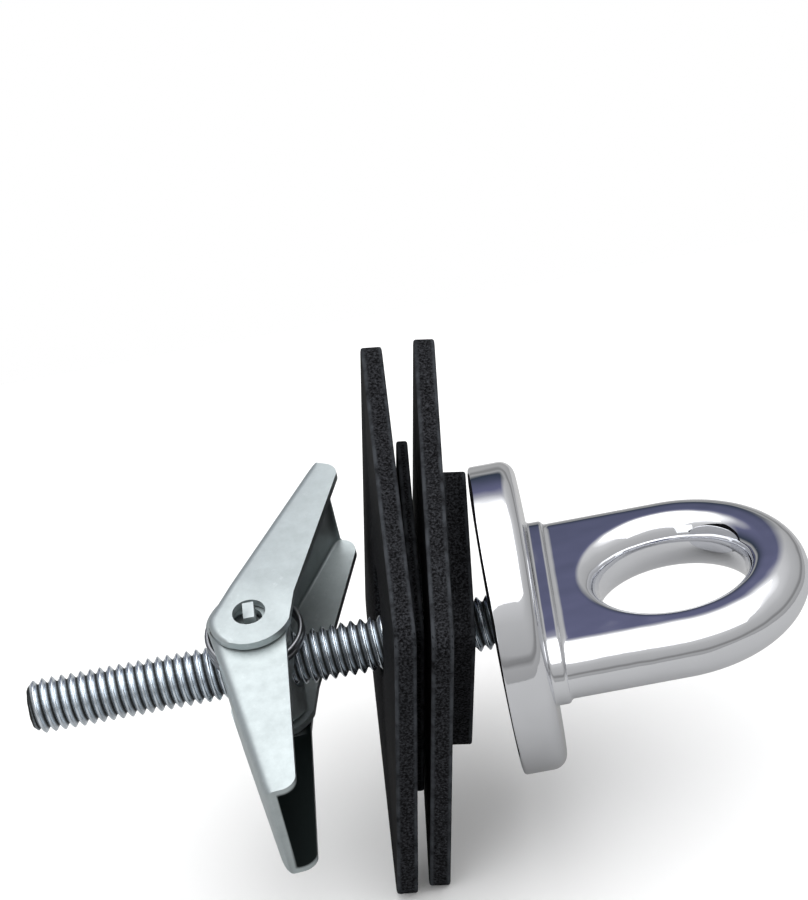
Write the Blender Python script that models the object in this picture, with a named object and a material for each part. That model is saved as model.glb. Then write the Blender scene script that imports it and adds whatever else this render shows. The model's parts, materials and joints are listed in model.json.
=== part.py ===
"""Pad eye with a spring toggle anchor: cast eye, threaded stud, rubber gaskets, nut, wings and torsion spring.

Origin: centre of the flange's back face. +X runs out along the stud's axis, through the eye.
+Z is square to the flat faces of the eye plate, and the eye's width lies along Y.
"""
import math

import bmesh
import bpy
from mathutils import Matrix, Vector

MM = 0.001
GAP = 0.3 * MM                      # room between pieces that touch on the real fitting

# cast pad eye
FLANGE_RADIUS = 22.3 * MM
FLANGE_THICKNESS = 6.5 * MM
FLANGE_EDGE_ROUND = 2.2 * MM
EYE_THICKNESS = 9.0 * MM
EYE_RADIUS = 19.5 * MM              # outside of the rounded end
EYE_CENTRE_X = 25.8 * MM            # centre of the hole, from the flange's back face
EYE_HOLE_RADIUS = 10.5 * MM
EYE_HOLE_ROUND = 3.3 * MM           # how far the rounded lip reaches out from the hole
FOOT_LENGTH = 2.2 * MM
FOOT_STEP = 0.8 * MM                # how far the foot stands proud of the eye plate

# threaded stud
STUD_RADIUS = 3.95 * MM
STUD_IN_CASTING = 8.0 * MM
STUD_FREE_END_X = -68.0 * MM
STUD_CHAMFER = 0.9 * MM
BORE_CLEARANCE = 0.2 * MM

# rubber gaskets: square plates hung corner up and pushed off centre by the play in their holes
GASKET_TURN = math.radians(30.0)    # the stack is turned about the stud from the eye's +Z
GASKET_HOLE_RADIUS = 8.0 * MM
GASKET_LIFT = 3.0 * MM
LARGE_SIDE = 57.2 * MM
MIDDLE_SIDE = 36.5 * MM
SMALL_SIDE = 28.8 * MM

# spring toggle
NUT_X = -33.9 * MM                  # the nut's centre, which wing A's holes share
WING_B_X = -34.6 * MM               # wing B's holes: its spring has pushed it back by its play
TOGGLE_TURN = math.radians(77.0)    # the pivot axis, turned about the stud from -Y towards +Z
WING_A_ANGLE = math.radians(65.0)   # wings' directions from the stud's +X
WING_B_ANGLE = math.radians(-85.0)
WING_LENGTH = 31.8 * MM
WING_SHEET = 1.2 * MM
WING_EAR_RADIUS = 6.2 * MM
WING_OUTER_EAR = 11.0 * MM          # outer face of the ear that lies outside
WING_TIP_INSET = 1.6 * MM           # how much each flange leans in by the tip
WING_FOLD_RADIUS = 1.5 * MM
WING_SHOULDER = (5.0 * MM, -5.0 * MM)   # where the ear ends, and its free edge there
WING_ROOT_BACK = 5.7 * MM           # the fold at the pivot and at the tip
WING_TIP_BACK = 2.8 * MM
WING_TIP_FRONT = -1.8 * MM
WING_NOSE = 1.9 * MM                # length and height of the rounded corner at the tip
WING_NOSE_DROP = 2.1 * MM
WING_HEEL_DROP = 0.6 * MM            # and at the fold's end
WEB_START = 6.2 * MM
PIVOT_HOLE_RADIUS = 2.4 * MM
NUT_RADIUS = 5.8 * MM
NUT_HALF_WIDTH = 7.6 * MM
NUT_HALF_DEPTH = 4.9 * MM
NUT_EAR = (1.6 * MM, 3.0 * MM)      # along the stud, across it
SPRING_WIRE = 0.45 * MM             # radius of the wire
SPRING_RADIUS = 6.7 * MM
SPRING_ENDS = (4.75 * MM, 7.45 * MM)    # where the coil starts and ends along the pivot
SPRING_LEG = 19.0 * MM              # how far the legs reach along the wings
SPRING_LEG_BACK = 4.2 * MM          # the legs' line, from the pivot towards the webs
SPRING_LEG_SLOPE = 0.155

MATERIALS = {
    "chrome": ((0.82, 0.82, 0.84), 0.08, 1.0),
    "zinc_stud": ((0.50, 0.54, 0.57), 0.32, 1.0),
    "rubber": ((0.030, 0.031, 0.034), 0.75, 0.0),
    "zinc_sheet": ((0.70, 0.76, 0.74), 0.38, 1.0),
    "spring_steel": ((0.42, 0.43, 0.45), 0.30, 1.0),
}

STUD_AXIS = Vector((1, 0, 0))


def clear_scene():
    for thing in list(bpy.data.objects):
        bpy.data.objects.remove(thing, do_unlink=True)


def material(name):
    found = bpy.data.materials.get(name)
    if found:
        return found
    colour, roughness, metallic = MATERIALS[name]
    made = bpy.data.materials.new(name)
    made.use_nodes = True
    shader = made.node_tree.nodes["Principled BSDF"]
    shader.inputs["Base Color"].default_value = (*colour, 1)
    shader.inputs["Roughness"].default_value = roughness
    shader.inputs["Metallic"].default_value = metallic
    return made


def link(name, mesh, material_name=None, matrix=None):
    """Put a mesh in the scene as one named object."""
    thing = bpy.data.objects.new(name, mesh)
    bpy.context.scene.collection.objects.link(thing)
    if material_name:
        mesh.materials.append(material(material_name))
    if matrix is not None:
        thing.matrix_world = matrix
    return thing


def mesh_from(name, points, faces):
    """A mesh whose faces are made to point outwards."""
    mesh = bpy.data.meshes.new(name)
    mesh.from_pydata([tuple(p) for p in points], [], faces)
    shape = bmesh.new()
    shape.from_mesh(mesh)
    bmesh.ops.remove_doubles(shape, verts=shape.verts, dist=1e-7)
    bmesh.ops.recalc_face_normals(shape, faces=shape.faces)
    shape.to_mesh(mesh)
    shape.free()
    return mesh


def lofted(name, rings, closed=False):
    """Join equal closed rings of points; cap the two ends, or join the last ring to the first."""
    count = len(rings[0])
    points = [p for ring in rings for p in ring]
    faces = []
    for i in range(len(rings) - (0 if closed else 1)):
        here, there = i * count, (i + 1) % len(rings) * count
        for k in range(count):
            after = (k + 1) % count
            faces.append((here + k, here + after, there + after, there + k))
    if not closed:
        faces.append(tuple(range(count)))
        faces.append(tuple(range(len(points) - count, len(points))))
    return mesh_from(name, points, faces)


def shade(thing, degrees=35):
    thing.data.shade_smooth()
    thing.data.set_sharp_from_angle(angle=math.radians(degrees))


def combine(target, tool, operation):
    """Cut or add a tool to a target, and hide the tool."""
    tool.hide_render = True
    tool.display_type = "WIRE"
    step = target.modifiers.new(tool.name, "BOOLEAN")
    step.operation = operation
    step.solver = "EXACT"
    step.object = tool


def arc(radius, start, end, steps):
    """Points (cosine, sine) * radius from start to end, both ends included."""
    angles = [start + (end - start) * i / steps for i in range(steps + 1)]
    return [(radius * math.cos(a), radius * math.sin(a)) for a in angles]


def ring_about_x(x, radius, count):
    angles = [2 * math.pi * k / count for k in range(count)]
    return [(x, radius * math.cos(a), radius * math.sin(a)) for a in angles]


def cylinder(name, low_x, high_x, radius, count=24):
    return link(name, lofted(name, [ring_about_x(x, radius, count) for x in (low_x, high_x)]))


def box(name, low, high, matrix=None):
    ring = [(low[0], low[1]), (high[0], low[1]), (high[0], high[1]), (low[0], high[1])]
    mesh = lofted(name, [[(x, y, z) for x, y in ring] for z in (low[2], high[2])])
    return link(name, mesh, matrix=matrix)


# ---------------------------------------------------------------- cast pad eye

def flange():
    """A disc with a rounded front edge, turned about the stud's axis."""
    bend = arc(FLANGE_EDGE_ROUND, 0, math.pi / 2, 4)
    edge = [(FLANGE_THICKNESS - FLANGE_EDGE_ROUND + s, FLANGE_RADIUS - FLANGE_EDGE_ROUND + c)
            for c, s in bend]
    profile = [(0, FLANGE_RADIUS - 0.4 * MM), (0.4 * MM, FLANGE_RADIUS), *edge]
    return lofted("flange", [ring_about_x(x, r, 64) for x, r in profile])


def stadium(x, half_width, half_height, steps=10):
    """A closed ring square to X: two straight sides and two half-round ends."""
    straight = half_width - half_height
    near = arc(half_height, -math.pi / 2, math.pi / 2, steps)
    ring = [(x, straight + c, s) for c, s in near]
    ring += [(x, -straight - c, -s) for c, s in near]
    return ring


def foot():
    """The low step between the flange and the eye plate."""
    half_width, half_height = EYE_RADIUS + 0.4 * MM, EYE_THICKNESS / 2 + FOOT_STEP
    start = FLANGE_THICKNESS - 1.0 * MM
    end = FLANGE_THICKNESS + FOOT_LENGTH
    edge = 0.7 * MM
    return lofted("foot", [
        stadium(start, half_width, half_height),
        stadium(end - edge, half_width, half_height),
        stadium(end, half_width - edge, half_height - edge),
    ])


def eye_plate():
    """A D-shaped plate with a full-round outer edge and a rounded lip all round its hole."""
    half = EYE_THICKNESS / 2
    inset = EYE_RADIUS - half
    root_x = FLANGE_THICKNESS - 2.0 * MM
    around, straight, back = 32, 5, 8
    outline = [(math.cos(a), math.sin(a)) for a in
               (-math.pi / 2 + math.pi * i / around for i in range(around + 1))]
    path = [(EYE_CENTRE_X + inset * c, inset * s, c, s) for c, s in outline]
    run = EYE_CENTRE_X - root_x
    path += [(EYE_CENTRE_X - run * i / straight, inset, 0, 1) for i in range(1, straight + 1)]
    path += [(root_x, inset - 2 * inset * i / back, 0, 0) for i in range(1, back)]
    path += [(root_x + run * i / straight, -inset, 0, -1) for i in range(straight)]
    lip = arc(1, math.pi, math.pi / 2, 5)
    edge = arc(1, math.pi / 2, -math.pi / 2, 10)
    rings = []
    for x, y, nx, ny in path:
        toward = Vector((x - EYE_CENTRE_X, y, 0)).normalized()
        centre = Vector((EYE_CENTRE_X, 0, 0)) + toward * (EYE_HOLE_RADIUS + EYE_HOLE_ROUND)
        upper = [centre + toward * (EYE_HOLE_ROUND * c) + Vector((0, 0, half * s)) for c, s in lip]
        outer = [Vector((x + half * c * nx, y + half * c * ny, half * s)) for c, s in edge]
        lower = [Vector((p.x, p.y, -p.z)) for p in reversed(upper)]
        rings.append(upper + outer + lower[:-1])
    return lofted("eye_plate", rings, closed=True)


def pad_eye():
    casting = link("pad_eye", flange(), "chrome")
    combine(casting, link("foot_shape", foot()), "UNION")
    combine(casting, link("eye_shape", eye_plate()), "UNION")
    bore = cylinder("stud_bore", -1 * MM, STUD_IN_CASTING + GAP, STUD_RADIUS + BORE_CLEARANCE)
    combine(casting, bore, "DIFFERENCE")
    shade(casting)


# ---------------------------------------------------------------- threaded stud

def stud():
    """The stud at its thread's outside diameter, with chamfered ends."""
    low, high, end = STUD_FREE_END_X, STUD_IN_CASTING, STUD_RADIUS - STUD_CHAMFER
    rod = link("stud", lofted("stud", [
        ring_about_x(low, end, 32), ring_about_x(low + STUD_CHAMFER, STUD_RADIUS, 32),
        ring_about_x(high - STUD_CHAMFER, STUD_RADIUS, 32), ring_about_x(high, end, 32),
    ]), "zinc_stud")
    shade(rod)


# ---------------------------------------------------------------- rubber gaskets

def gasket_mesh(name, side, thickness, corner, count=24):
    """A square plate standing on its corner, square to X, with a round hole and eased edges."""
    ease = 0.35 * MM

    def outline(x, shrink):
        ring = []
        middle = side / 2 - corner
        for k in range(4):
            turn = k * math.pi / 2
            for c, s in arc(corner - shrink, 0, math.pi / 2, count // 4 - 1):
                y, z = middle + c, middle + s
                a = turn + math.pi / 4
                ring.append((x, y * math.cos(a) - z * math.sin(a), y * math.sin(a) + z * math.cos(a)))
        return ring

    def hole(x):
        start = math.pi / 4
        steps = [start + 2 * math.pi * (k + 0.5) / count for k in range(count)]
        return [(x, GASKET_HOLE_RADIUS * math.cos(a), GASKET_HOLE_RADIUS * math.sin(a)) for a in steps]

    rings = [hole(0), outline(0, ease), outline(ease, 0), outline(thickness - ease, 0),
             outline(thickness, ease), hole(thickness)]
    return lofted(name, rings, closed=True)


def gasket(name, side, thickness, corner, x, lean, swing, spin):
    """lean tips the top corner towards the eye, swing brings the near corner towards it."""
    up = Matrix.Rotation(-GASKET_TURN, 4, STUD_AXIS)
    tilt = Matrix.Rotation(math.radians(lean), 4, "Y") @ Matrix.Rotation(math.radians(swing), 4, "Z")
    turn = Matrix.Rotation(math.radians(spin), 4, STUD_AXIS)
    place = up @ Matrix.Translation((x, 0, GASKET_LIFT)) @ tilt @ turn
    thing = link(name, gasket_mesh(name, side, thickness, corner), "rubber", place)
    shade(thing)


def gaskets():
    gasket("rear_gasket", LARGE_SIDE, 3.0 * MM, 3.0 * MM, -16.5 * MM, 6.8, 5.8, 1.2)
    gasket("middle_gasket", MIDDLE_SIDE, 1.6 * MM, 1.6 * MM, -12.75 * MM, 7.8, 5.0, 3.0)
    gasket("front_gasket", LARGE_SIDE, 3.0 * MM, 3.0 * MM, -10.3 * MM, 8.9, 4.2, 3.0)
    gasket("small_gasket", SMALL_SIDE, 3.5 * MM, 1.2 * MM, -6.95 * MM, 8.9, 4.2, 9.0)


# ---------------------------------------------------------------- spring toggle

def toggle_frame(angle, side, x=NUT_X):
    """Axes of a wing: along it, towards its web, and along the pivot."""
    pivot = Vector((0, -math.cos(TOGGLE_TURN), math.sin(TOGGLE_TURN)))
    across = pivot.cross(STUD_AXIS)
    along = STUD_AXIS * math.cos(angle) + across * math.sin(angle)
    hinge = pivot * side
    web = hinge.cross(along)
    frame = Matrix((along, web, hinge)).transposed().to_4x4()
    return Matrix.Translation((x, 0, 0)) @ frame


def wing_outline(a):
    """The flange's back edge (the fold) and its free edge, at a distance along the wing."""
    back = WING_ROOT_BACK + (WING_TIP_BACK - WING_ROOT_BACK) * a / WING_LENGTH
    if a <= 0:
        half = max(math.sqrt(max(WING_EAR_RADIUS ** 2 - a ** 2, 0)), 1.4 * MM)
        return min(half, back), -half
    shoulder, waist = WING_SHOULDER
    if a < shoulder:
        front = -WING_EAR_RADIUS + (waist + WING_EAR_RADIUS) * a / shoulder
    else:
        front = waist + (WING_TIP_FRONT - waist) * (a - shoulder) / (WING_LENGTH - shoulder)
    left = WING_LENGTH - a
    if left < WING_NOSE:
        rounding = 1 - math.sqrt(1 - (1 - left / WING_NOSE) ** 2)
        front += WING_NOSE_DROP * rounding
        back -= WING_HEEL_DROP * rounding
    return back, front


def wing_section(a):
    """The channel's U section: outer ear, web, inner ear, with rounded folds."""
    back, front = wing_outline(a)
    lean = WING_TIP_INSET * max(a - WING_SHOULDER[0], 0) / (WING_LENGTH - WING_SHOULDER[0])
    high = WING_OUTER_EAR - lean
    low = -(WING_OUTER_EAR - WING_SHEET - GAP - lean)
    r = min(WING_FOLD_RADIUS, (back - front) / 3)
    inner = 0.4 * MM
    fold = arc(1, 0, math.pi / 2, 3)
    outer_line = [(front, high)]
    outer_line += [(back - r + r * s, high - r + r * c) for c, s in fold]
    outer_line += [(back - r + r * c, low + r - r * s) for c, s in fold]
    outer_line += [(front, low)]
    web_in, high_in, low_in = back - WING_SHEET, high - WING_SHEET, low + WING_SHEET
    inner_line = [(front, low_in), (web_in - inner, low_in), (web_in, low_in + inner)]
    inner_line += [(web_in, high_in - inner), (web_in - inner, high_in), (front, high_in)]
    return [(a, b, q) for b, q in outer_line + inner_line]


def wing(name, angle, side, x):
    """One stamped wing: a tapering channel with round pivot ears and no web over the stud."""
    ear = [-WING_EAR_RADIUS * math.cos(math.pi / 2 * i / 7) for i in range(8)]
    ear[0] = -math.sqrt(WING_EAR_RADIUS ** 2 - (1.4 * MM) ** 2)
    body = [2 * MM, 4 * MM, WEB_START, WING_SHOULDER[0], 14 * MM, 23 * MM, WING_LENGTH - WING_NOSE]
    tip = [WING_LENGTH - WING_NOSE * (1 - math.sin(math.pi / 2 * i / 5)) for i in range(1, 6)]
    stations = sorted({round(a, 7) for a in ear + body + tip})
    frame = toggle_frame(angle, side, x)
    mesh = lofted(name, [wing_section(a) for a in stations])
    thing = link(name, mesh, "zinc_sheet", frame)
    low = -(WING_OUTER_EAR - 2 * WING_SHEET - GAP) - 0.01 * MM
    high = WING_OUTER_EAR - WING_SHEET + 0.01 * MM
    far = 20 * MM
    combine(thing, box(name + "_web_gap", (-far, -far, low), (WEB_START, far, high), frame), "DIFFERENCE")
    pin = lofted(name + "_pin_hole", [
        [(c, s, q) for c, s in arc(PIVOT_HOLE_RADIUS, 0, 2 * math.pi, 20)[:-1]] for q in (-far, far)])
    combine(thing, link(name + "_pin_hole", pin, matrix=frame), "DIFFERENCE")
    shade(thing)


def nut():
    """A barrel nut across the stud, with a flat ear at each end for the wings."""
    frame = toggle_frame(0, 1)
    barrel = [(c, s) for c, s in arc(NUT_RADIUS, 0, 2 * math.pi, 32)[:-1]]
    barrel = [(max(-NUT_HALF_DEPTH, min(NUT_HALF_DEPTH, c)), s) for c, s in barrel]
    ease = 0.5 * MM
    rings = [[(c * k, s * k, q) for c, s in barrel] for q, k in (
        (-NUT_HALF_WIDTH, 0.92), (-NUT_HALF_WIDTH + ease, 1), (NUT_HALF_WIDTH - ease, 1),
        (NUT_HALF_WIDTH, 0.92))]
    thing = link("toggle_nut", lofted("toggle_nut", rings), "zinc_sheet", frame)
    reach = WING_OUTER_EAR + 0.4 * MM
    x, y = NUT_EAR[0] / 2, NUT_EAR[1] / 2
    combine(thing, box("nut_ears", (-x, -y, -reach), (x, y, reach), frame), "UNION")
    bore = cylinder("nut_bore", NUT_X - 12 * MM, NUT_X + 12 * MM, STUD_RADIUS + BORE_CLEARANCE)
    combine(thing, bore, "DIFFERENCE")
    shade(thing)


def spring_path():
    """Centre line in the nut's frame: a leg behind wing A's web, the coil, a leg behind wing B's."""
    lean = math.radians(31)
    first = WING_A_ANGLE + lean
    last = WING_B_ANGLE - lean + 6 * math.pi
    low, high = SPRING_ENDS
    points = []
    for angle, height in ((WING_A_ANGLE, high), (WING_B_ANGLE, low)):
        web = angle + math.copysign(math.pi / 2, angle)
        leg = [(a, SPRING_LEG_BACK - SPRING_LEG_SLOPE * a, height) for a in (9.0 * MM, SPRING_LEG)]
        leg = [(a * math.cos(angle) + b * math.cos(web), a * math.sin(angle) + b * math.sin(web), h)
               for a, b, h in leg]
        points.append(leg)
    steps = 40
    coil = []
    for i in range(steps + 1):
        a = first + (last - first) * i / steps
        coil.append((SPRING_RADIUS * math.cos(a), SPRING_RADIUS * math.sin(a),
                     high + (low - high) * i / steps))
    return points[0][::-1] + coil + points[1]


def spring():
    """A torsion spring coiled round the nut's near end, with a leg behind each wing's web."""
    path = [Vector(p) for p in spring_path()]
    rings = []
    for i, spot in enumerate(path):
        ahead = (path[min(i + 1, len(path) - 1)] - path[max(i - 1, 0)]).normalized()
        side = ahead.cross(Vector((0, 0, 1))).normalized()
        top = side.cross(ahead)
        rings.append([spot + side * c + top * s for c, s in arc(SPRING_WIRE, 0, 2 * math.pi, 8)[:-1]])
    thing = link("toggle_spring", lofted("toggle_spring", rings), "spring_steel", toggle_frame(0, 1))
    shade(thing, 60)


def main():
    clear_scene()
    pad_eye()
    stud()
    gaskets()
    wing("wing_a", WING_A_ANGLE, 1, NUT_X)
    wing("wing_b", WING_B_ANGLE, -1, WING_B_X)
    nut()
    spring()


main()
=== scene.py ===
import json
import math

import bmesh
import bpy
from bpy.props import FloatProperty, FloatVectorProperty, IntProperty, PointerProperty
from mathutils import Matrix, Vector


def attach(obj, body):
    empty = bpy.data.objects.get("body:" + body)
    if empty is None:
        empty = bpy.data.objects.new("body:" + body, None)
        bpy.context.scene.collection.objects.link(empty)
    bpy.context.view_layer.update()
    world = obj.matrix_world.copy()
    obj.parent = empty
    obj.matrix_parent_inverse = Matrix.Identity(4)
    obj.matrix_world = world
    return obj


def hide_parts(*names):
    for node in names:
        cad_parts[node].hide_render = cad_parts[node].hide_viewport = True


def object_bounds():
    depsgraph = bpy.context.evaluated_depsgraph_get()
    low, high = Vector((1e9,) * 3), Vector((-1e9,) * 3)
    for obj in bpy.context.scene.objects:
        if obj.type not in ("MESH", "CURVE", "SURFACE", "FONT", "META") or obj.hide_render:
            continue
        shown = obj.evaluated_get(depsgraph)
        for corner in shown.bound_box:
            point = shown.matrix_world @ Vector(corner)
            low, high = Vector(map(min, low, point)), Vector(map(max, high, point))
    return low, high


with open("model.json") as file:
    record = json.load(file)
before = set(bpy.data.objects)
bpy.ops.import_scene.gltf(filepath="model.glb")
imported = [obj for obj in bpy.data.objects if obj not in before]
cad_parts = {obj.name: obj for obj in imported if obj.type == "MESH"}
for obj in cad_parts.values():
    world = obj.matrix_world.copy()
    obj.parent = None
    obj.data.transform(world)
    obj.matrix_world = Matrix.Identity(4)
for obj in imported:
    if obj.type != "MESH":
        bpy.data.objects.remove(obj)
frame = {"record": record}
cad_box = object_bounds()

bl_info = {
    "name": "Pad eye with spring toggle",
    "version": (1, 0, 0),
    "blender": (4, 5, 0),
    "location": "View3D > Sidebar > Pad eye",
    "description": "Builds a chromed pad eye with its stud, rubber gaskets and spring toggle",
    "category": "Add Mesh",
}

# The frame: origin at the centre of the flange's back face, +X along the stud towards the eye,
# +Z square to the eye plate. Every length is in metres.
MM = 0.001
STUD_AXIS = Vector((1, 0, 0))
GAP = 0.3 * MM
JOINTS = {joint["name"]: joint for joint in frame["record"]["behaviour"]["joints"]}


def size(name, default, text):
    """A length that a user may change, given in millimetres."""
    return FloatProperty(name=name, description=text, default=default * MM, min=0, unit="LENGTH", precision=5)


def colour(name, default, text):
    return FloatVectorProperty(name=name, description=text, default=default, size=3, min=0, max=1,
                               subtype="COLOR")


def angle(name, default, text):
    return FloatProperty(name=name, description=text, default=math.radians(default), unit="ROTATION")


class CastingSettings(bpy.types.PropertyGroup):
    flange_radius: size("Flange radius", 22.3, "Outside of the round flange")
    flange_thickness: size("Flange thickness", 6.5, "From the back face to the front face")
    flange_round: size("Flange edge", 2.2, "Rounding of the flange's front edge")
    plate_thickness: size("Eye thickness", 9.0, "Thickness of the eye plate")
    plate_radius: size("Eye radius", 19.5, "Outside of the eye's round end")
    hole_centre: size("Hole centre", 25.8, "From the back face to the centre of the hole")
    hole_radius: size("Hole radius", 10.5, "Narrowest part of the hole")
    hole_round: size("Hole lip", 3.3, "How far the rounded lip reaches out from the hole")
    foot_step: size("Foot step", 0.8, "How far the foot stands proud of the eye plate")
    foot_length: size("Foot length", 2.3, "From the flange's front face to the end of the foot")
    chrome: colour("Chrome", (0.86, 0.87, 0.90), "Colour of the chrome plate")


class StudSettings(bpy.types.PropertyGroup):
    radius: size("Radius", 3.95, "Outside of the thread")
    depth: size("Thread depth", 0.86, "From crest to root")
    pitch: size("Pitch", 1.411, "Distance from crest to crest")
    free_end: size("Free length", 68.0, "From the flange's back face to the free end")
    hidden_end: size("Length in casting", 8.0, "How far the stud goes into the casting")
    chamfer: size("Chamfer", 1.1, "Size of the chamfer at each end")
    sides: IntProperty(name="Sides", description="Steps in each turn of the thread", default=28, min=8)
    crest: colour("Crest", (0.86, 0.93, 1.0), "Bright zinc on the thread's crests")
    # Root: painted shade that darkens the thread's roots
    root: colour("Root", (0.012, 0.015, 0.016), "Dark roots of the thread")


class GasketSettings(bpy.types.PropertyGroup):
    large_side: size("Large side", 57.2, "Side of the two large gaskets")
    middle_side: size("Middle side", 36.5, "Side of the gasket between them")
    small_side: size("Small side", 28.8, "Side of the gasket by the flange")
    hole_radius: size("Hole radius", 8.0, "Hole that the stud runs through")
    lift: size("Lift", 3.0, "How far the gaskets sit off the stud's centre")
    turn: angle("Turn", 30.0, "The stack's turn about the stud")
    face: colour("Face", (0.0022, 0.0022, 0.0026), "Moulded faces")
    rim: colour("Rim", (0.022, 0.023, 0.026), "Cut rims")
    # Edge: painted highlight along the rims' rounded edges
    edge: colour("Edge", (0.055, 0.06, 0.068), "Scuffed edges of the rims")


class ToggleSettings(bpy.types.PropertyGroup):
    turn: angle("Turn", 77.0, "The pivot's turn about the stud")
    wing_a: angle("Wing A", 65.0, "Direction of the upper wing from the stud")
    wing_b: angle("Wing B", -85.0, "Direction of the lower wing from the stud")
    wing_length: size("Wing length", 31.8, "From the pivot to the tip")
    sheet: size("Sheet", 1.2, "Thickness of the pressed sheet")
    ear_radius: size("Ear radius", 6.2, "Round end about the pivot")
    ear_outside: size("Ear outside", 11.0, "Outer face of the outer ear from the stud's centre")
    pin_radius: size("Pivot hole", 2.4, "Radius of the pivot holes")
    nut_radius: size("Nut radius", 5.8, "Radius of the nut's barrel")
    wire: size("Spring wire", 0.45, "Radius of the spring's wire")
    zinc: colour("Zinc sheet", (0.58, 0.64, 0.65), "Pale zinc on the wings and nut")
    # Inside: painted shade on the wings' inner faces
    inside: colour("Inside", (0.012, 0.018, 0.018), "Dark inner faces of the wings")
    spring: colour("Spring steel", (0.34, 0.35, 0.37), "Colour of the spring")


class StageSettings(bpy.types.PropertyGroup):
    floor: colour("Floor", (0.98, 0.98, 0.98), "Pale floor")
    key: FloatProperty(name="Key light", description="Power of the overhead light", default=5.5, unit="POWER")


# ---------------------------------------------------------------- node trees

class Term:
    """A number that varies: arithmetic on it adds Math nodes to its tree."""

    def __init__(self, tree, socket):
        self.tree, self.socket = tree, socket

    def maths(self, operation, *terms, clamp=False):
        settings = {"operation": operation, "use_clamp": clamp}
        node = self.tree.add("ShaderNodeMath", settings, dict(enumerate(terms)))
        return Term(self.tree, node.outputs[0])

    def __add__(self, other):
        return self.maths("ADD", self, other)

    def __radd__(self, other):
        return self.maths("ADD", other, self)

    def __sub__(self, other):
        return self.maths("SUBTRACT", self, other)

    def __rsub__(self, other):
        return self.maths("SUBTRACT", other, self)

    def __mul__(self, other):
        return self.maths("MULTIPLY", self, other)

    def __rmul__(self, other):
        return self.maths("MULTIPLY", other, self)

    def __truediv__(self, other):
        return self.maths("DIVIDE", self, other)

    def __abs__(self):
        return self.maths("ABSOLUTE", self)

    def cos(self):
        return self.maths("COSINE", self)

    def sin(self):
        return self.maths("SINE", self)

    def root(self):
        return self.maths("SQRT", self)

    def least(self, other):
        return self.maths("MINIMUM", self, other)

    def most(self, other):
        return self.maths("MAXIMUM", self, other)

    def between(self, low, high):
        """0 below low, 1 above high, and straight from one to the other."""
        return self.maths("MULTIPLY", self - low, 1 / (high - low), clamp=True)


class Tree:
    """A node tree: each node comes from one call, with its settings first and then its inputs."""

    def __init__(self, tree):
        self.tree = tree

    def add(self, kind, settings=None, inputs=None):
        node = self.tree.nodes.new(kind)
        for name, value in (settings or {}).items():
            if name == "stops":
                self.stops(node, value)
            else:
                setattr(node, name, value)
        for key, value in (inputs or {}).items():
            socket = node.inputs[key]
            if isinstance(value, Term):
                value = value.socket
            if isinstance(value, bpy.types.NodeSocket):
                self.tree.links.new(value, socket)
            else:
                socket.default_value = value
        return node

    @staticmethod
    def stops(node, stops):
        ramp = node.color_ramp
        while len(ramp.elements) < len(stops):
            ramp.elements.new(1)
        for element, (place, value) in zip(ramp.elements, stops):
            element.position = place
            element.color = (*value, 1) if isinstance(value, tuple) else (value, value, value, 1)

    def term(self, node, output=0):
        return Term(self, node.outputs[output])

    def place(self):
        """The point in the row frame, as three terms."""
        here = self.add("ShaderNodeTexCoord")
        split = self.add("ShaderNodeSeparateXYZ", None, {0: here.outputs["Object"]})
        return here.outputs["Object"], [self.term(split, i) for i in range(3)]

    def noise(self, vector, scale, detail=3.0, roughness=0.5):
        node = self.add("ShaderNodeTexNoise", None, {
            "Vector": vector, "Scale": scale, "Detail": detail, "Roughness": roughness})
        return self.term(node)

    def blend(self, amount, first, second):
        node = self.add("ShaderNodeMix", {"data_type": "RGBA"}, {0: amount, 6: first, 7: second})
        return node.outputs[2]

    def bump(self, height, distance, strength=1.0, normal=None):
        inputs = {"Height": height, "Distance": distance, "Strength": strength}
        if normal is not None:
            inputs["Normal"] = normal
        return self.add("ShaderNodeBump", None, inputs).outputs[0]


def new_material(name, make):
    """A material whose maker fills in the inputs of its Principled shader."""
    found = bpy.data.materials.get(name)
    if found:
        return found
    made = bpy.data.materials.new(name)
    made.use_nodes = True
    made.node_tree.nodes.clear()
    tree = Tree(made.node_tree)
    shader = tree.add("ShaderNodeBsdfPrincipled", None, make(tree))
    tree.add("ShaderNodeOutputMaterial", None, {"Surface": shader.outputs[0]})
    return made


def rgb(value):
    return (*value, 1)


CURVE_MIDDLE_Y = -4 * MM    # middle of the polished faces' slight curve


def chrome_material(settings):
    """Mirror plate with fine specks, over faces that polishing has left slightly curved."""
    def make(tree):
        spot, (x, y, _) = tree.place()
        cloud = tree.noise(spot, 90, 2)
        specks = tree.noise(spot, 3200, 2)
        tint = tree.blend(cloud, rgb(settings.chrome), rgb([c * 0.9 for c in settings.chrome]))
        along, across = x - settings.hole_centre, y - CURVE_MIDDLE_Y
        curve = along * along * 1.2 - across * across * 0.8 + cloud * 0.3 * MM
        swell = tree.bump(curve, 1.0)
        return {
            "Base Color": tint,
            "Metallic": 1.0,
            "Roughness": 0.035 + 0.05 * specks.between(0.45, 0.75),
            "Normal": tree.bump(specks, 0.004 * MM, 0.25, swell),
        }
    return new_material("mirror_chrome", make)


THREAD_SHADE = (0.78 * MM, 0.46 * MM)   # depths under the crests where the painted root shade is full, and where it ends


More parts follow.
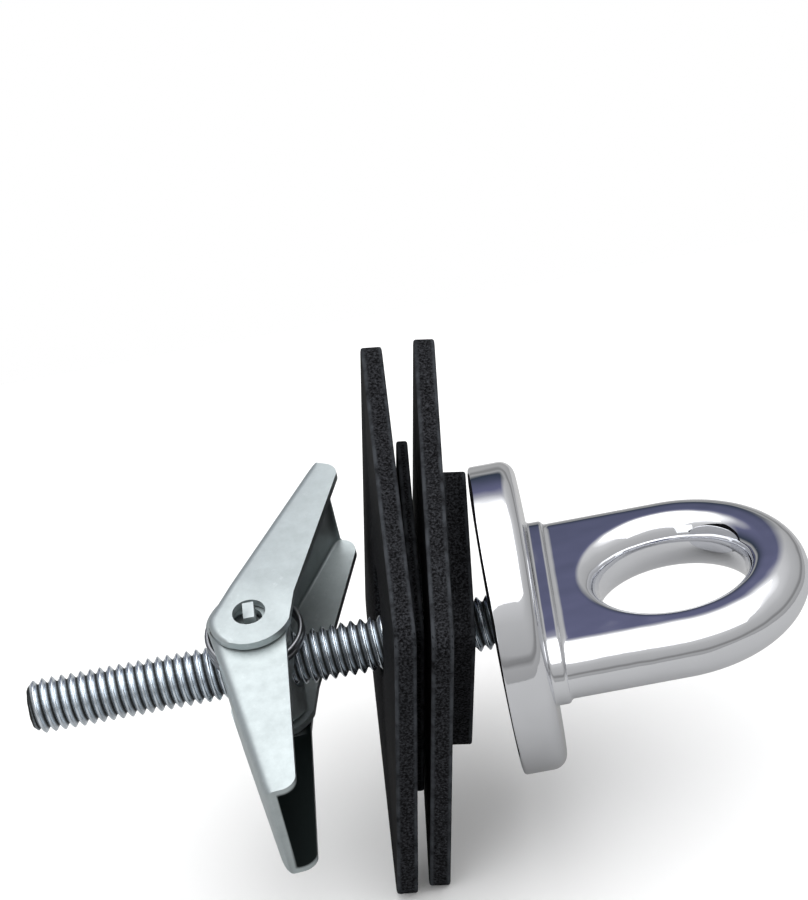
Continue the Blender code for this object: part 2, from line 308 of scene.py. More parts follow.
def stud_material(settings):
    """Bright zinc on the thread's crests and painted shade in its roots."""
    def make(tree):
        spot, (_, y, z) = tree.place()
        out = (y * y + z * z).root()
        dark, shade_end = (settings.radius - depth for depth in THREAD_SHADE)
        crest = out.between(dark, shade_end)
        grime = tree.noise(spot, 420, 4)
        grain = tree.noise(spot, 2600, 3)
        bright = tree.blend(grime.between(0.35, 0.75), rgb(settings.crest),
                            rgb([c * 0.72 for c in settings.crest]))
        return {
            # Painted shade: the roots turn near black below the crests
            "Base Color": tree.blend(crest, rgb(settings.root), bright),
            "Metallic": 0.55 + 0.4 * crest,
            "Roughness": 0.5 - 0.34 * crest + 0.1 * grain,
            "Normal": tree.bump(grain, 0.02 * MM, 0.5),
        }
    return new_material("thread_zinc", make)


SCUFF = (0.72, 0.76, 0.77)


def sheet_material(settings):
    """Mottled satin zinc, with painted shade where the wings' inner faces are marked."""
    def make(tree):
        spot, _ = tree.place()
        cloud = tree.noise(spot, 400, 5, 0.7)
        grain = tree.noise(spot, 1900, 4, 0.6)
        scuffs = tree.noise(spot, 620, 5, 0.7).between(0.60, 0.74)
        inside = tree.term(tree.add("ShaderNodeAttribute", {"attribute_name": "inside"}), "Fac")
        pale = tree.blend(cloud, rgb(settings.zinc), rgb([c * 0.68 for c in settings.zinc]))
        scuffed = tree.blend(scuffs * 0.4, pale, rgb(SCUFF))
        return {
            # Painted shade: the marked inner faces turn near black
            "Base Color": tree.blend(inside.between(0.6, 0.95), scuffed, rgb(settings.inside)),
            "Metallic": 0.88,
            "Roughness": 0.36 + 0.16 * cloud + 0.08 * grain,
            "Normal": tree.bump(grain, 0.012 * MM, 0.5),
        }
    return new_material("pressed_zinc", make)


def spring_material(settings):
    """Drawn wire, darker in patches."""
    def make(tree):
        spot, _ = tree.place()
        grain = tree.noise(spot, 1500, 3)
        return {
            "Base Color": tree.blend(grain, rgb(settings.spring),
                                     rgb([c * 0.7 for c in settings.spring])),
            "Metallic": 1.0,
            "Roughness": 0.28 + 0.15 * grain,
        }
    return new_material("spring_wire", make)


def rubber_material(settings):
    """Smooth dark faces, and speckled rims with a painted highlight in patches along their rounded edges."""
    def make(tree):
        spot, _ = tree.place()
        rim = tree.term(tree.add("ShaderNodeAttribute", {"attribute_name": "rim"}), "Fac")
        edge = tree.term(tree.add("ShaderNodeAttribute", {"attribute_name": "edge"}), "Fac")
        speck = tree.noise(spot, 3000, 4, 0.7)
        dust = tree.noise(spot, 90, 4, 0.6)
        highlight_patches = tree.noise(spot, 330, 4, 0.6).between(0.30, 0.62)
        face = tree.blend(dust.between(0.4, 0.8), rgb(settings.face), rgb([c * 2.2 for c in settings.face]))
        torn = tree.blend(speck.between(0.42, 0.70), rgb(settings.face), rgb([c * 2.0 for c in settings.rim]))
        plain = tree.blend(rim, face, torn)
        coarse = tree.noise(spot, 1700, 4, 0.65)
        return {
            # Painted highlight in patches along the rims' rounded edges
            "Base Color": tree.blend(edge * highlight_patches * 0.8, plain, rgb(settings.edge)),
            "Roughness": 0.62 + 0.2 * rim + 0.1 * dust,
            "Specular IOR Level": 0.04,
            "Normal": tree.bump(coarse * (0.15 + 0.85 * rim), 0.16 * MM, 0.7),
        }
    return new_material("moulded_rubber", make)


# ---------------------------------------------------------------- meshes

def arc(radius, start, end, steps):
    """Points (cosine, sine) * radius from start to end, both ends included."""
    angles = [start + (end - start) * i / steps for i in range(steps + 1)]
    return [(radius * math.cos(a), radius * math.sin(a)) for a in angles]


def ring_about_x(x, radius, count):
    return [(x, y, z) for y, z in arc(radius, 0, 2 * math.pi, count)[:-1]]


def tidy_mesh(mesh):
    """Merge what meets, drop what has no area, and turn every face outwards."""
    shape = bmesh.new()
    shape.from_mesh(mesh)
    bmesh.ops.remove_doubles(shape, verts=shape.verts, dist=1e-7)
    bmesh.ops.dissolve_degenerate(shape, edges=shape.edges, dist=1e-7)
    bmesh.ops.recalc_face_normals(shape, faces=shape.faces)
    shape.to_mesh(mesh)
    shape.free()
    return mesh


def lofted(name, rings, closed=False):
    """Join equal closed rings of points; cap the two ends, or join the last ring to the first."""
    count = len(rings[0])
    points = [tuple(p) for ring in rings for p in ring]
    faces = []
    for i in range(len(rings) - (0 if closed else 1)):
        here, there = i * count, (i + 1) % len(rings) * count
        for k in range(count):
            after = (k + 1) % count
            faces.append((here + k, here + after, there + after, there + k))
    if not closed:
        faces.append(tuple(range(count)))
        faces.append(tuple(range(len(points) - count, len(points))))
    mesh = bpy.data.meshes.new(name)
    mesh.from_pydata(points, [], faces)
    return tidy_mesh(mesh)


def tube(name, path, radius, sides=10):
    """A round wire along a path of points."""
    path = [Vector(p) for p in path]
    rings = []
    for i, spot in enumerate(path):
        ahead = (path[min(i + 1, len(path) - 1)] - path[max(i - 1, 0)]).normalized()
        side = ahead.cross(Vector((0, 0, 1))).normalized()
        top = side.cross(ahead)
        rings.append([spot + side * c + top * s for c, s in arc(radius, 0, 2 * math.pi, sides)[:-1]])
    return lofted(name, rings)


def box_mesh(name, low, high):
    ring = [(low[0], low[1]), (high[0], low[1]), (high[0], high[1]), (low[0], high[1])]
    return lofted(name, [[(x, y, z) for x, y in ring] for z in (low[2], high[2])])


def cylinder_mesh(name, low_x, high_x, radius, count=48):
    return lofted(name, [ring_about_x(x, radius, count) for x in (low_x, high_x)])


def place_mesh(mesh, matrix):
    mesh.transform(matrix)
    return mesh


def object_of(mesh):
    thing = bpy.data.objects.new(mesh.name, mesh)
    bpy.context.scene.collection.objects.link(thing)
    return thing


def carved(base, steps, bevel=0.0, degrees=40):
    """Join or cut a mesh with others, in order, and round its edges; returns a plain mesh."""
    body = object_of(base)
    tools = []
    for mesh, operation in steps:
        tool = object_of(mesh)
        tools.append(tool)
        step = body.modifiers.new(mesh.name, "BOOLEAN")
        step.operation, step.solver, step.object = operation, "EXACT", tool
    if bevel:
        rounding = body.modifiers.new("edges", "BEVEL")
        rounding.width, rounding.segments = bevel, 2
        rounding.limit_method, rounding.angle_limit = "ANGLE", math.radians(degrees)
        rounding.harden_normals = True
    bpy.context.view_layer.update()
    graph = bpy.context.evaluated_depsgraph_get()
    result = bpy.data.meshes.new_from_object(body.evaluated_get(graph), depsgraph=graph)
    for thing in [body, *tools]:
        bpy.data.objects.remove(thing, do_unlink=True)
    return result


def finish_piece(name, mesh, material, body, node, degrees=32):
    """Name a piece, give it its finish, and set it to ride on a body in place of a CAD node."""
    mesh.name = name
    mesh.materials.clear()
    mesh.materials.append(material)
    mesh.shade_smooth()
    if degrees:
        mesh.set_sharp_from_angle(angle=math.radians(degrees))
    thing = object_of(mesh)
    thing.name = name
    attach(thing, body)
    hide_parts(node)
    return thing


def grown(name, tree, values):
    """Run a Geometry Nodes tree on an empty mesh and keep what it makes as a plain mesh."""
    seed = object_of(bpy.data.meshes.new(name + "_seed"))
    step = seed.modifiers.new(name, "NODES")
    step.node_group = tree
    sockets = {item.name: item.identifier for item in tree.interface.items_tree
               if item.item_type == "SOCKET" and item.in_out == "INPUT"}
    for key, value in values.items():
        step[sockets[key]] = value
    bpy.context.view_layer.update()
    graph = bpy.context.evaluated_depsgraph_get()
    mesh = bpy.data.meshes.new_from_object(seed.evaluated_get(graph), depsgraph=graph)
    seed.modifiers.clear()
    bpy.data.objects.remove(seed, do_unlink=True)
    return tidy_mesh(mesh)


def shape_tree(name, inputs):
    """A Geometry Nodes tree with named inputs; returns the tree, its helper and its input terms."""
    group = bpy.data.node_groups.new(name, "GeometryNodeTree")
    group.interface.new_socket("Geometry", in_out="OUTPUT", socket_type="NodeSocketGeometry")
    for key, kind in inputs.items():
        group.interface.new_socket(key, in_out="INPUT", socket_type=kind)
    tree = Tree(group)
    entry = tree.add("NodeGroupInput")
    return group, tree, {key: tree.term(entry, key) for key in inputs}


def end_tree(tree, geometry, material):
    """Close a Geometry Nodes tree: real geometry with its material."""
    real = tree.add("GeometryNodeRealizeInstances", None, {0: geometry})
    painted = tree.add("GeometryNodeSetMaterial", None, {"Geometry": real.outputs[0], "Material": material})
    tree.add("NodeGroupOutput", None, {0: painted.outputs[0]})


def at(tree, x, y, z):
    """A vector socket from three terms."""
    return tree.add("ShaderNodeCombineXYZ", None, {0: x, 1: y, 2: z}).outputs[0]


# ---------------------------------------------------------------- cast pad eye

def flange_mesh(s):
    """The round flange, turned about the stud's axis: its back edge eased, its front edge rounded."""
    back, steps = 0.5 * MM, 12
    profile = [(0, s.flange_radius - back - 6 * MM), (0, s.flange_radius - back)]
    profile += [(back - back * math.cos(a), s.flange_radius - back + back * math.sin(a))
                for a in (math.pi / 2 * i / 4 for i in range(1, 5))]
    middle = (s.flange_thickness - s.flange_round, s.flange_radius - s.flange_round)
    profile += [(back + (middle[0] - back) * i / 4, s.flange_radius) for i in range(1, 4)]
    profile += [(middle[0] + b, middle[1] + c) for c, b in arc(s.flange_round, 0, math.pi / 2, steps)]
    profile += [(s.flange_thickness, middle[1] - 0.4 * MM), (s.flange_thickness, 8 * MM)]
    return lofted("flange", [ring_about_x(x, r, 144) for x, r in profile])


def stadium(x, half_width, half_height, steps=20):
    """A closed ring square to X: two straight sides and two half-round ends."""
    straight = half_width - half_height
    near = arc(half_height, -math.pi / 2, math.pi / 2, steps)
    ring = [(x, straight + c, t) for c, t in near]
    ring += [(x, straight - 2 * straight * i / 16, half_height) for i in range(1, 16)]
    ring += [(x, -straight - c, -t) for c, t in near]
    ring += [(x, -straight + 2 * straight * i / 16, -half_height) for i in range(1, 16)]
    return ring


def foot_mesh(s):
    """The step between flange and eye plate, with a hollow fillet on each side of it."""
    width, height = s.plate_radius + 0.4 * MM, s.plate_thickness / 2 + s.foot_step
    front = s.flange_thickness
    end = front + s.foot_length
    corner, fillet, hollow = 0.55 * MM, 1.1 * MM, 0.5 * MM
    rows = [(front - 1.0 * MM, 0.0)]
    rows += [(front + hollow - hollow * math.cos(a), -hollow + hollow * math.sin(a))
             for a in (math.pi / 2 * i / 5 for i in range(6))]
    rows += [(end - corner + b, corner - c) for c, b in arc(corner, 0, math.pi / 2 * 0.8, 5)]
    drop = s.foot_step - rows[-1][1]
    rows += [(rows[-1][0] + fillet * math.sin(a), s.foot_step - drop * (1 - math.sin(a)) ** 2)
             for a in (math.pi / 2 * i / 6 for i in range(1, 7))]
    rows.append((rows[-1][0] + 0.4 * MM, s.foot_step + 0.25 * MM))
    rows[0] = (rows[0][0], rows[1][1])
    return lofted("foot", [stadium(x, width - inset, height - inset) for x, inset in rows])


def plate_mesh(s):
    """The D-shaped eye plate with a full-round outer edge and a rounded lip all round its hole."""
    half = s.plate_thickness / 2
    inset = s.plate_radius - half
    root_x = s.flange_thickness - 2 * MM
    around, straight, back = 96, 16, 24
    centre = Vector((s.hole_centre, 0, 0))
    outline = arc(1, -math.pi / 2, math.pi / 2, around)
    path = [(s.hole_centre + inset * c, inset * t, c, t) for c, t in outline]
    run = s.hole_centre - root_x
    path += [(s.hole_centre - run * i / straight, inset, 0, 1) for i in range(1, straight + 1)]
    path += [(root_x, inset - 2 * inset * i / back, 0, 0) for i in range(1, back)]
    path += [(root_x + run * i / straight, -inset, 0, -1) for i in range(straight)]
    lip = arc(1, math.pi, math.pi / 2, 14)
    edge = arc(1, math.pi / 2, -math.pi / 2, 28)
    margin = 0.25 * MM
    rings = []
    for x, y, nx, ny in path:
        toward = (Vector((x, y, 0)) - centre).normalized()
        start = centre + toward * (s.hole_radius + s.hole_round)
        upper = [start + toward * (s.hole_round * c) + Vector((0, 0, half * t)) for c, t in lip]
        upper.append(start + toward * margin + Vector((0, 0, half)))
        upper.append(Vector((x, y, half)) - Vector((nx, ny, 0)) * margin)
        outer = [Vector((x + half * c * nx, y + half * c * ny, half * t)) for c, t in edge]
        lower = [Vector((p.x, p.y, -p.z)) for p in reversed(upper)]
        rings.append(upper + outer + lower[:-1])
    return lofted("eye_plate", rings, closed=True)


class PADEYE_OT_casting(bpy.types.Operator):
    """Build the chromed casting: flange, foot and eye plate"""
    bl_idname = "padeye.casting"
    bl_label = "Pad eye casting"

    def execute(self, context):
        s, stud = context.scene.padeye_casting, context.scene.padeye_stud
        bore = cylinder_mesh("bore", -1 * MM, stud.hidden_end + GAP, stud.radius + 0.2 * MM)
        mesh = carved(flange_mesh(s), [
            (foot_mesh(s), "UNION"), (plate_mesh(s), "UNION"), (bore, "DIFFERENCE")])
        finish_piece("pad_eye_casting", mesh, chrome_material(s), "fitting", "pad_eye")
        return {"FINISHED"}


# ---------------------------------------------------------------- threaded stud

def thread_tree():
    """A grid wound into a screw: its long side climbs the helix, its short side crosses one pitch."""
    group, tree, given = shape_tree("screw_thread", {
        "Radius": "NodeSocketFloat", "Depth": "NodeSocketFloat", "Pitch": "NodeSocketFloat",
        "Low end": "NodeSocketFloat", "High end": "NodeSocketFloat", "Chamfer": "NodeSocketFloat",
        "Turns": "NodeSocketInt", "Sides": "NodeSocketInt", "Material": "NodeSocketMaterial"})
    pitch, low, high = given["Pitch"], given["Low end"], given["High end"]
    grid = tree.add("GeometryNodeMeshGrid", None, {
        "Size X": 1.0, "Size Y": 1.0, "Vertices X": given["Turns"] * given["Sides"] + 1, "Vertices Y": 9})
    split = tree.add("ShaderNodeSeparateXYZ", None, {0: tree.add("GeometryNodeInputPosition").outputs[0]})
    turned = (tree.term(split, 0) + 0.5) * given["Turns"]
    across = tree.term(split, 1) + 0.5
    along = low + pitch * (turned + across - 2)
    valley = abs(across * 2 - 1).between(0.10, 0.90)
    ridge = given["Radius"] - given["Depth"] * valley
    blunt = given["Radius"] - given["Chamfer"]
    tapered = blunt + (along - low).least(high - along)
    shrink = ((along - low) / pitch + 1).least((high - along) / pitch + 1).between(0, 1)
    radius = ridge.least(tapered.most(blunt)) * shrink
    turn = turned * (2 * math.pi)
    spot = at(tree, along.most(low).least(high), radius * turn.cos(), radius * turn.sin())
    wound = tree.add("GeometryNodeSetPosition", None, {"Geometry": grid.outputs[0], "Position": spot})
    joined = tree.add("GeometryNodeMergeByDistance", None, {
        "Geometry": wound.outputs[0], "Distance": 0.001 * MM})
    end_tree(tree, joined.outputs[0], given["Material"])
    return group


class PADEYE_OT_stud(bpy.types.Operator):
    """Build the threaded stud"""
    bl_idname = "padeye.stud"
    bl_label = "Threaded stud"

    def execute(self, context):
        s = context.scene.padeye_stud
        material = stud_material(s)
        mesh = grown("stud_thread", thread_tree(), {
            "Radius": s.radius, "Depth": s.depth, "Pitch": s.pitch, "Low end": -s.free_end,
            "High end": s.hidden_end, "Chamfer": s.chamfer, "Sides": s.sides, "Material": material,
            "Turns": math.ceil((s.free_end + s.hidden_end) / s.pitch) + 3})
        finish_piece("stud_thread", mesh, material, "fitting", "stud", 0)
        return {"FINISHED"}


# ---------------------------------------------------------------- rubber gaskets

def gasket_mesh(side, thickness, corner, hole_radius):
    """A square plate on its corner, square to X, whose rims and edges are marked for the finish."""
    count, ease, steps = 64, 0.35 * MM, 3

    def outline(x, shrink):
        ring = []
        middle = side / 2 - corner
        for k in range(4):
            turn = k * math.pi / 2 + math.pi / 4
            for c, t in arc(corner - shrink, 0, math.pi / 2, count // 4 - 1):
                y, z = middle + c, middle + t
                ring.append((x, y * math.cos(turn) - z * math.sin(turn),
                             y * math.sin(turn) + z * math.cos(turn)))
        return ring

    def hole(x, grow=0.0):
        angles = [math.pi / 4 + 2 * math.pi * (k + 0.5) / count for k in range(count)]
        return [(x, (hole_radius + grow) * math.cos(a), (hole_radius + grow) * math.sin(a)) for a in angles]

    bend = [(ease - ease * math.sin(a), ease - ease * math.cos(a))
            for a in (math.pi / 2 * i / steps for i in range(steps + 1))]
    rows = [(hole, 0.2 * MM, 0.0, 1, 0), (hole, 0.0, 0.2 * MM, 1, 0)]
    rows += [(outline, 0.0, ease + 0.3 * MM, 0, 0)]
    rows += [(outline, shrink, inset, 0.5, 1) for shrink, inset in reversed(bend)]
    rows += [(outline, ease + 0.3 * MM, 0.0, 1, 0), (outline, thickness - ease - 0.3 * MM, 0.0, 1, 0)]
    rows += [(outline, thickness - shrink, inset, 0.5, 1) for shrink, inset in bend]
    rows += [(outline, thickness, ease + 0.3 * MM, 0, 0)]
    rows += [(hole, thickness, 0.2 * MM, 1, 0), (hole, thickness - 0.2 * MM, 0.0, 1, 0)]
    rings = [shape(x, amount) for shape, x, amount, _, _ in rows]
    mesh = lofted("gasket", rings, closed=True)
    marks = {}
    for ring, row in zip(rings, rows):
        for p in ring:
            marks[tuple(round(c, 7) for c in p)] = row[3:]
    for place, name in enumerate(("rim", "edge")):
        layer = mesh.attributes.new(name, "FLOAT", "POINT")
        for vertex in mesh.vertices:
            value = marks.get(tuple(round(c, 7) for c in vertex.co), (0, 0))[place]
            layer.data[vertex.index].value = value
    return mesh


# Each gasket: node, side setting, thickness, corner radius and place along the stud in mm,
# then lean, swing and spin in degrees, and the body that it rides on.
GASKETS = (
    ("rear_gasket", "large_side", 3.0, 3.0, -16.5, 6.8, 5.8, 1.2, "rear_gasket"),
    ("middle_gasket", "middle_side", 1.6, 1.6, -12.75, 7.8, 5.0, 3.0, "gasket_stack"),
    ("front_gasket", "large_side", 3.0, 3.0, -10.3, 8.9, 4.2, 3.0, "gasket_stack"),
    ("small_gasket", "small_side", 3.5, 1.2, -6.95, 8.9, 4.2, 9.0, "gasket_stack"),
)


class PADEYE_OT_gaskets(bpy.types.Operator):
    """Build the four rubber gaskets, tilted as they hang on the stud"""
    bl_idname = "padeye.gaskets"
    bl_label = "Rubber gaskets"

    def execute(self, context):
        s = context.scene.padeye_gaskets
        material = rubber_material(s)
        up = Matrix.Rotation(-s.turn, 4, STUD_AXIS)
        for node, side, thick, corner, x, lean, swing, spin, body in GASKETS:
            tilt = Matrix.Rotation(math.radians(lean), 4, "Y") @ Matrix.Rotation(math.radians(swing), 4, "Z")
            turn = Matrix.Rotation(math.radians(spin), 4, STUD_AXIS)
            where = up @ Matrix.Translation((x * MM, 0, s.lift)) @ tilt @ turn
            mesh = gasket_mesh(getattr(s, side), thick * MM, corner * MM, s.hole_radius)
            name = node.replace("_gasket", "_rubber")
            finish_piece(name, place_mesh(mesh, where), material, body, node, 0)
        return {"FINISHED"}


# ---------------------------------------------------------------- spring toggle

def pivot_point(joint="wing_a_fold"):
    """Where a wing's pivot crosses the stud's axis."""
    return Vector(JOINTS[joint]["pos_m"])


def toggle_frame(s, direction, side, joint="wing_a_fold"):
    """Axes of a wing: along it, towards its web, and along the pivot."""
    pivot = Vector((0, -math.cos(s.turn), math.sin(s.turn)))
    across = pivot.cross(STUD_AXIS)
    along = STUD_AXIS * math.cos(direction) + across * math.sin(direction)
    hinge = pivot * side
    web = hinge.cross(along)
    frame_axes = Matrix((along, web, hinge)).transposed().to_4x4()
    return Matrix.Translation(pivot_point(joint)) @ frame_axes


WING_SHOULDER = (5.0 * MM, -5.0 * MM)   # where the ear ends, and its free edge there
WING_ROOT_BACK = 5.7 * MM               # the fold at the pivot and at the tip
WING_TIP_BACK = 2.8 * MM
WING_TIP_FRONT = -1.8 * MM
WING_TIP_INSET = 1.6 * MM               # how much each flange leans in by the tip
WING_NOSE = 1.9 * MM                    # length and drop of the rounded corner at the tip
WING_NOSE_DROP = 2.1 * MM
WING_HEEL_DROP = 0.6 * MM               # how far the fold's own corner is rounded there
WING_EAR_END = 0.9 * MM                 # half width of the flat that ends the round ear
WEB_START = 6.2 * MM                    # from the pivot to the web's near end, past the stud


def wing_outline(s, a):
    """The flange's back edge (the fold) and its free edge, at a distance along the wing."""
    back = WING_ROOT_BACK + (WING_TIP_BACK - WING_ROOT_BACK) * a / s.wing_length
    if a <= 0:
        half = max(math.sqrt(max(s.ear_radius ** 2 - a ** 2, 0)), WING_EAR_END)
        return min(half, back), -half
    shoulder, waist = WING_SHOULDER
    if a < shoulder:
        front = -s.ear_radius + (waist + s.ear_radius) * a / shoulder
    else:
        front = waist + (WING_TIP_FRONT - waist) * (a - shoulder) / (s.wing_length - shoulder)
    left = s.wing_length - a
    if left < WING_NOSE:
        rounding = 1 - math.sqrt(1 - (1 - left / WING_NOSE) ** 2)
        front += WING_NOSE_DROP * rounding
        back -= WING_HEEL_DROP * rounding
    return back, front


def wing_section(s, a):
    """The channel's U section: outer ear, web, inner ear, with rounded folds."""
    back, front = wing_outline(s, a)
    lean = WING_TIP_INSET * max(a - WING_SHOULDER[0], 0) / (s.wing_length - WING_SHOULDER[0])
    high = s.ear_outside - lean
    low = -(s.ear_outside - s.sheet - GAP - lean)
    r = min(1.6 * MM, (back - front) / 3)
    inner = max(r - s.sheet, 0.3 * MM)
    fold = arc(1, 0, math.pi / 2, 6)
    outside = [(front, high)]
    outside += [(back - r + r * t, high - r + r * c) for c, t in fold]
    outside += [(back - r + r * c, low + r - r * t) for c, t in fold]
    outside += [(front, low)]
    web, top, bottom = back - s.sheet, high - s.sheet, low + s.sheet
    inside = [(front, bottom)]
    inside += [(web - inner + inner * t, bottom + inner - inner * c) for c, t in fold]
    inside += [(web - inner + inner * c, top - inner + inner * t) for c, t in fold]
    inside += [(front, top)]
    return [(a, b, q) for b, q in outside + inside]


def wing_mesh(s, name):
    """One stamped wing: a tapering channel with round pivot ears and no web over the stud."""
    ear = [-s.ear_radius * math.cos(math.pi / 2 * i / 16) for i in range(17)]
    ear = [-math.sqrt(s.ear_radius ** 2 - WING_EAR_END ** 2)] + [a for a in ear if a > -s.ear_radius * 0.985]
    nose = s.wing_length - WING_NOSE
    body = [WING_SHOULDER[0] + (nose - WING_SHOULDER[0]) * i / 9 for i in range(10)]
    tip = [s.wing_length - WING_NOSE * (1 - math.sin(math.pi / 2 * i / 9)) for i in range(1, 10)]
    stations = sorted({round(a, 7) for a in ear + [2 * MM, 3 * MM, 4 * MM, 5 * MM, WEB_START] + body + tip})
    shell = lofted(name, [wing_section(s, a) for a in stations])
    far = 20 * MM
    low = -(s.ear_outside - 2 * s.sheet - GAP) - 0.01 * MM
    high = s.ear_outside - s.sheet + 0.01 * MM
    gap = box_mesh(name + "_web_gap", (-far, -far, low), (WEB_START, far, high))
    pin = lofted(name + "_pin_hole", [
        [(c, t, q) for c, t in arc(s.pin_radius, 0, 2 * math.pi, 40)[:-1]] for q in (-far, far)])
    return carved(shell, [(gap, "DIFFERENCE"), (pin, "DIFFERENCE")])


def mark_inside_shade(s, mesh, all_shaded):
    """Mark the channel's inner faces for painted shade: all of them, or only those by the web and the pivot.
    """
    layer = mesh.attributes.new("inside", "FLOAT", "POINT")
    for vertex in mesh.vertices:
        a, b, q = vertex.co
        back, front = wing_outline(s, max(a, 0))
        reach = s.ear_outside - WING_TIP_INSET * max(a, 0) / s.wing_length
        under_skin = min(reach - q, reach - s.sheet - GAP + q, back - b)
        # Painted shade grows from the free edge towards the web and fades towards the tip
        depth = min(max((b - front) / (back - front), 0), 1) * min(1.3 - a / s.wing_length, 1)
        shade_amount = 1.0 if all_shaded else depth
        layer.data[vertex.index].value = shade_amount if under_skin > 0.6 * s.sheet else 0.0


class PADEYE_OT_wings(bpy.types.Operator):
    """Build the two stamped wings"""
    bl_idname = "padeye.wings"
    bl_label = "Toggle wings"

    def execute(self, context):
        s = context.scene.padeye_toggle
        # Wing B's inner faces all take the painted shade; wing A's only by the web and the pivot
        wings = (("wing_a", s.wing_a, 1, False), ("wing_b", s.wing_b, -1, True))
        for node, direction, side, all_shaded in wings:
            mesh = wing_mesh(s, node + "_shell")
            mark_inside_shade(s, mesh, all_shaded)
            place_mesh(mesh, toggle_frame(s, direction, side, node + "_fold"))
            finish_piece(node + "_sheet", mesh, sheet_material(s), node, node, 35)
        return {"FINISHED"}


NUT_HALF_WIDTH = 7.6 * MM               # along the pivot
NUT_HALF_DEPTH = 4.9 * MM               # along the stud, to the barrel's two flats
NUT_EAR = (1.6 * MM, 3.0 * MM)          # along the stud, across it


class PADEYE_OT_nut(bpy.types.Operator):
    """Build the cross nut that the wings turn on"""
    bl_idname = "padeye.nut"
    bl_label = "Toggle nut"

    def execute(self, context):
        s, stud = context.scene.padeye_toggle, context.scene.padeye_stud
        barrel = [(max(-NUT_HALF_DEPTH, min(NUT_HALF_DEPTH, c)), t)
                  for c, t in arc(s.nut_radius, 0, 2 * math.pi, 64)[:-1]]
        ease = 0.5 * MM
        rings = [[(c * k, t * k, q) for c, t in barrel] for q, k in (
            (-NUT_HALF_WIDTH, 0.92), (-NUT_HALF_WIDTH + ease / 3, 0.97), (-NUT_HALF_WIDTH + ease, 1),
            (NUT_HALF_WIDTH - ease, 1), (NUT_HALF_WIDTH - ease / 3, 0.97), (NUT_HALF_WIDTH, 0.92))]
        x, y, reach = NUT_EAR[0] / 2, NUT_EAR[1] / 2, s.ear_outside + 0.4 * MM
        where = toggle_frame(s, 0, 1)
        ears = box_mesh("nut_ears", (-x, -y, -reach), (x, y, reach))
        bore = cylinder_mesh("nut_bore", -12 * MM, 12 * MM, stud.radius + 0.2 * MM)
        bore = place_mesh(bore, where.inverted() @ Matrix.Translation(pivot_point()))
        mesh = carved(lofted("nut", rings), [(ears, "UNION"), (bore, "DIFFERENCE")], 0.12 * MM)
        finish_piece("cross_nut", place_mesh(mesh, where), sheet_material(s), "toggle_nut", "toggle_nut")
        return {"FINISHED"}


SPRING_RADIUS = 6.7 * MM
SPRING_ENDS = (4.75 * MM, 7.45 * MM)    # where the coil starts and ends along the pivot
SPRING_LEG = 19.0 * MM                  # how far the legs reach along the wings
SPRING_LEG_BACK = 4.2 * MM              # the legs' line, from the pivot towards the webs
SPRING_LEG_SLOPE = 0.155
SPRING_LEG_TURN = math.radians(31)      # how far from a wing's own direction its leg leaves the coil


def coil_tree():
    """A wire wound at an even pitch about +Z."""
    group, tree, given = shape_tree("spring_coil", {
        "Radius": "NodeSocketFloat", "Wire": "NodeSocketFloat", "Start": "NodeSocketFloat",
        "Sweep": "NodeSocketFloat", "From": "NodeSocketFloat", "To": "NodeSocketFloat",
        "Points": "NodeSocketInt", "Material": "NodeSocketMaterial"})
    line = tree.add("GeometryNodeCurvePrimitiveLine")
    dots = tree.add("GeometryNodeResampleCurve", None, {"Curve": line.outputs[0], "Count": given["Points"]})
    part = tree.term(tree.add("GeometryNodeSplineParameter"), "Factor")
    turn = given["Start"] + given["Sweep"] * part
    spot = at(tree, given["Radius"] * turn.cos(), given["Radius"] * turn.sin(),
              given["From"] + (given["To"] - given["From"]) * part)
    wound = tree.add("GeometryNodeSetPosition", None, {"Geometry": dots.outputs[0], "Position": spot})
    round_wire = tree.add("GeometryNodeCurvePrimitiveCircle", None, {
        "Resolution": 12, "Radius": given["Wire"]})
    swept = tree.add("GeometryNodeCurveToMesh", None, {
        "Curve": wound.outputs[0], "Profile Curve": round_wire.outputs[0], "Fill Caps": True})
    end_tree(tree, swept.outputs[0], given["Material"])
    return group


def leg_path(direction, height):
    """From the coil's end out along a wing, just inside its web."""
    sign = math.copysign(1, direction)
    web = direction + sign * math.pi / 2
    start = direction + sign * SPRING_LEG_TURN
    path = [(SPRING_RADIUS * math.cos(start + sign * a), SPRING_RADIUS * math.sin(start + sign * a), height)
            for a in (0.16, 0.08, 0.0)]
    for a in (6.4 * MM, 7.4 * MM, 9 * MM, 14 * MM, SPRING_LEG):
        b = SPRING_LEG_BACK - SPRING_LEG_SLOPE * a
        path.append((a * math.cos(direction) + b * math.cos(web),
                     a * math.sin(direction) + b * math.sin(web), height))
    return path


class PADEYE_OT_spring(bpy.types.Operator):
    """Build the torsion spring: a coil on the nut and a leg on each wing"""
    bl_idname = "padeye.spring"
    bl_label = "Toggle spring"

    def execute(self, context):
        s = context.scene.padeye_toggle
        material = spring_material(s)
        low, high = SPRING_ENDS
        first = s.wing_a + SPRING_LEG_TURN
        last = s.wing_b - SPRING_LEG_TURN + 6 * math.pi
        coil = grown("spring_coil", coil_tree(), {
            "Radius": SPRING_RADIUS, "Wire": s.wire, "Start": first, "Sweep": last - first,
            "From": high, "To": low, "Points": 120, "Material": material})
        where = toggle_frame(s, 0, 1)
        finish_piece("spring_coil", place_mesh(coil, where), material, "toggle_nut", "toggle_spring",
                     60)
        for body, direction, height in (("wing_a", s.wing_a, high), ("wing_b", s.wing_b, low)):
            leg = place_mesh(tube(body + "_spring_leg", leg_path(direction, height), s.wire), where)
            finish_piece(body + "_spring_leg", leg, material, body, "toggle_spring", 60)
        return {"FINISHED"}


# ---------------------------------------------------------------- stage

